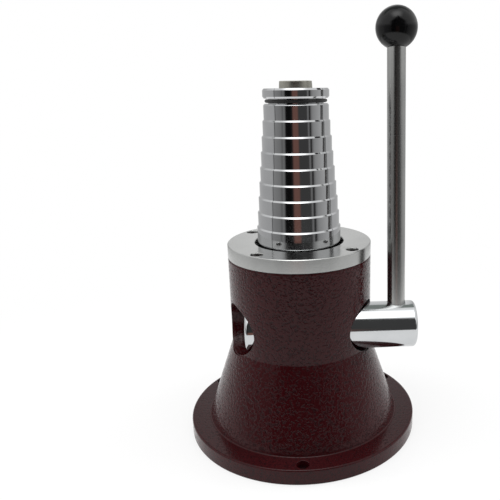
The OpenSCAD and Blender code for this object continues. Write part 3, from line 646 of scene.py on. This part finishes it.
world = bpy.data.worlds.new("studio")
bpy.context.scene.world = world
world.use_nodes = True
tree = world.node_tree
tree.nodes.clear()
way = add(tree, "ShaderNodeSeparateXYZ", Vector=add(tree, "ShaderNodeTexCoord").outputs["Generated"])
ahead = add(tree, "ShaderNodeMath", {"operation": "MULTIPLY"}, i0=way.outputs[1], i1=-1.0)
compass = add(tree, "ShaderNodeMath", {"operation": "ARCTAN2"}, i0=way.outputs[0], i1=ahead.outputs[0])
round_about = add(tree, "ShaderNodeMapRange", Value=compass.outputs[0], From_Min=-np.pi, From_Max=np.pi)
# Walls by compass direction, in degrees from the camera side, left negative: white backdrop behind the object,
# pale screens at the sides and a dark room in front, with a strip of something warm in it at table height.
WALLS = [(-180, "#FFFFFF"), (-160, "#C4C4C4"), (-86, "#BEBEBE"), (-77, "#979797"), (-55, "#888888"), (-49, "#6C6C6C"),
         (-44, "#848484"), (-41, "#787878"), (-37, "#141414"), (-22, "#141414"), (8, "#464646"), (36, "#464646"),
         (39, "#868686"), (42, "#787878"), (44, "#303030"), (48, "#343434"), (51, "#848484"), (58, "#A0A0A0"),
         (92, "#C4C4C4"), (160, "#C4C4C4"), (180, "#FFFFFF")]
STRIP = [(-16, "#000000"), (-11, "#FFFFFF"), (3, "#FFFFFF"), (7, "#000000")]
ramps = []
for stops in (WALLS, STRIP):
    ramp = add(tree, "ShaderNodeValToRGB", Fac=round_about.outputs[0])
    while len(ramp.color_ramp.elements) < len(stops):
        ramp.color_ramp.elements.new(0.5)
    for spot, (degrees, code) in zip(ramp.color_ramp.elements, stops):
        spot.position, spot.color = (degrees + 180) / 360, srgb(code)
    ramps.append(ramp.outputs[0])

# Higher up, the side screens are white, the backdrop ends under a darker wall, and over that is a white ceiling
# that comes down further in front and at the sides. Gloss sees the overhead softbox there as a bright oblong,
# brightest in the middle: x and y over z give its plane. Each part's edge is a smooth rise from 0 to 1.
aside = add(tree, "ShaderNodeMath", {"operation": "ABSOLUTE"}, i0=way.outputs[0])
behind = add(tree, "ShaderNodeMath", {"operation": "MAXIMUM"}, i0=way.outputs[1], i1=0.0)
above = way.outputs[2]
for lean, amount in ((aside.outputs[0], 0.6), (way.outputs[1], -0.1), (behind.outputs[0], -0.5)):
    above = add(tree, "ShaderNodeMath", {"operation": "MULTIPLY_ADD"}, i0=lean, i1=amount, i2=above).outputs[0]
across = add(tree, "ShaderNodeMath", {"operation": "DIVIDE"}, i0=way.outputs[0], i1=way.outputs[2])
along = add(tree, "ShaderNodeMath", {"operation": "DIVIDE"}, i0=way.outputs[1], i1=way.outputs[2])
edges = {"table": (way.outputs[2], 0.06, -0.01), "screen_foot": (way.outputs[2], 0.08, 0.3),
         "screen_side": (aside.outputs[0], 0.5, 0.8), "backdrop_top": (way.outputs[2], 0.66, 0.76),
         "backdrop_side": (way.outputs[1], 0.05, 0.25), "ceiling": (above, 0.86, 0.94),
         "box_left": (across.outputs[0], -0.7, -0.15), "box_right": (across.outputs[0], 0.55, 0.0),
         "box_front": (along.outputs[0], -0.9, -0.6), "box_back": (along.outputs[0], 0.14, -0.35),
         "box_over": (way.outputs[2], 0.1, 0.2)}
rise = {}
for edge, (value, low, high) in edges.items():
    rise[edge] = add(tree, "ShaderNodeMapRange", {"interpolation_type": "SMOOTHSTEP"}, Value=value, From_Min=low,
                     From_Max=high).outputs[0]
warm = add(tree, "ShaderNodeMath", {"operation": "MULTIPLY"}, i0=ramps[1], i1=rise["table"])
screens = add(tree, "ShaderNodeMath", {"operation": "MULTIPLY"}, i0=rise["screen_foot"], i1=rise["screen_side"])
back = add(tree, "ShaderNodeMath", {"operation": "MULTIPLY"}, i0=rise["backdrop_top"], i1=rise["backdrop_side"])
path = add(tree, "ShaderNodeLightPath")
seen = add(tree, "ShaderNodeMath", {"operation": "ADD", "use_clamp": True}, i0=path.outputs["Is Camera Ray"],
           i1=path.outputs["Is Transmission Ray"])
room = ramps[0]
for part, code in ((warm.outputs[0], "#7A5850"), (screens.outputs[0], "#FFFFFF"), (back.outputs[0], "#8C928E"),
                   (rise["ceiling"], "#FFFFFF"), (seen.outputs[0], "#FFFFFF")):
    room = add(tree, "ShaderNodeMix", {"data_type": "RGBA"}, i0=part, i6=room, i7=srgb(code)).outputs[2]
oblong = path.outputs["Is Glossy Ray"]
for edge in ("box_left", "box_right", "box_front", "box_back", "box_over"):
    oblong = add(tree, "ShaderNodeMath", {"operation": "MULTIPLY"}, i0=oblong, i1=rise[edge]).outputs[0]
shine = add(tree, "ShaderNodeMath", {"operation": "MULTIPLY_ADD"}, i0=oblong, i1=2.6, i2=1.0)
sky = add(tree, "ShaderNodeBackground", Color=room, Strength=shine.outputs[0])
add(tree, "ShaderNodeOutputWorld", Surface=sky.outputs[0])


def softbox(name, place, aim, size, power):
    """Rectangular area lamp at a place in metres, turned to face a point. Gloss shows the studio's walls instead."""
    lamp = bpy.data.lights.new(name, "AREA")
    lamp.shape, lamp.size, lamp.size_y, lamp.energy = "RECTANGLE", size[0], size[1], power
    hung = bpy.data.objects.new(name, lamp)
    hung.visible_glossy = False
    bpy.context.scene.collection.objects.link(hung)
    away = np.subtract(place, aim)
    away = away / np.linalg.norm(away)
    right = np.cross([0, 0, 1], away)
    right = right / np.linalg.norm(right)
    up = np.cross(away, right)
    hung.matrix_world = Matrix([[right[i], up[i], away[i], place[i]] for i in range(3)] + [[0, 0, 0, 1]])


softbox("overhead_softbox", (-0.04, -0.36, 1.2), (-0.04, -0.2, 0.15), (1.2, 0.95), 5.0)
softbox("left_fill", (-0.9, 0.05, 0.35), (0, 0, 0.1), (0.5, 0.5), 5.0)
softbox("right_fill", (0.9, 0.05, 0.35), (0, 0, 0.1), (0.5, 0.5), 5.0)

# The camera stands in front, slightly left of the mandrel and level with its top, and looks 15 degrees down.
FOCAL, CENTRE_X, IMAGE = 583.7074, 323.7965, 500.0
EYE, YAW, PITCH, ROLL = (-4.9355, -439.3162, 266.0123), 0.0543, 0.2695, 0.0127
look = np.array([np.sin(YAW) * np.cos(PITCH), np.cos(YAW) * np.cos(PITCH), -np.sin(PITCH)])
level = np.array([np.cos(YAW), -np.sin(YAW), 0.0])
down = np.cross(look, level)
right = np.cos(ROLL) * level + np.sin(ROLL) * down
drop = -np.sin(ROLL) * level + np.cos(ROLL) * down
lens = bpy.data.cameras.new("camera")
lens.sensor_width = 36.0
lens.lens = FOCAL / IMAGE * lens.sensor_width
lens.shift_x = (IMAGE / 2 - CENTRE_X) / IMAGE
lens.clip_start = 0.01
camera = bpy.data.objects.new("camera", lens)
bpy.context.scene.collection.objects.link(camera)
camera.matrix_world = Matrix([[right[i], -drop[i], -look[i], EYE[i] * MM] for i in range(3)] + [[0, 0, 0, 1]])
bpy.context.scene.camera = camera
bpy.context.scene.view_settings.view_transform = "Standard"
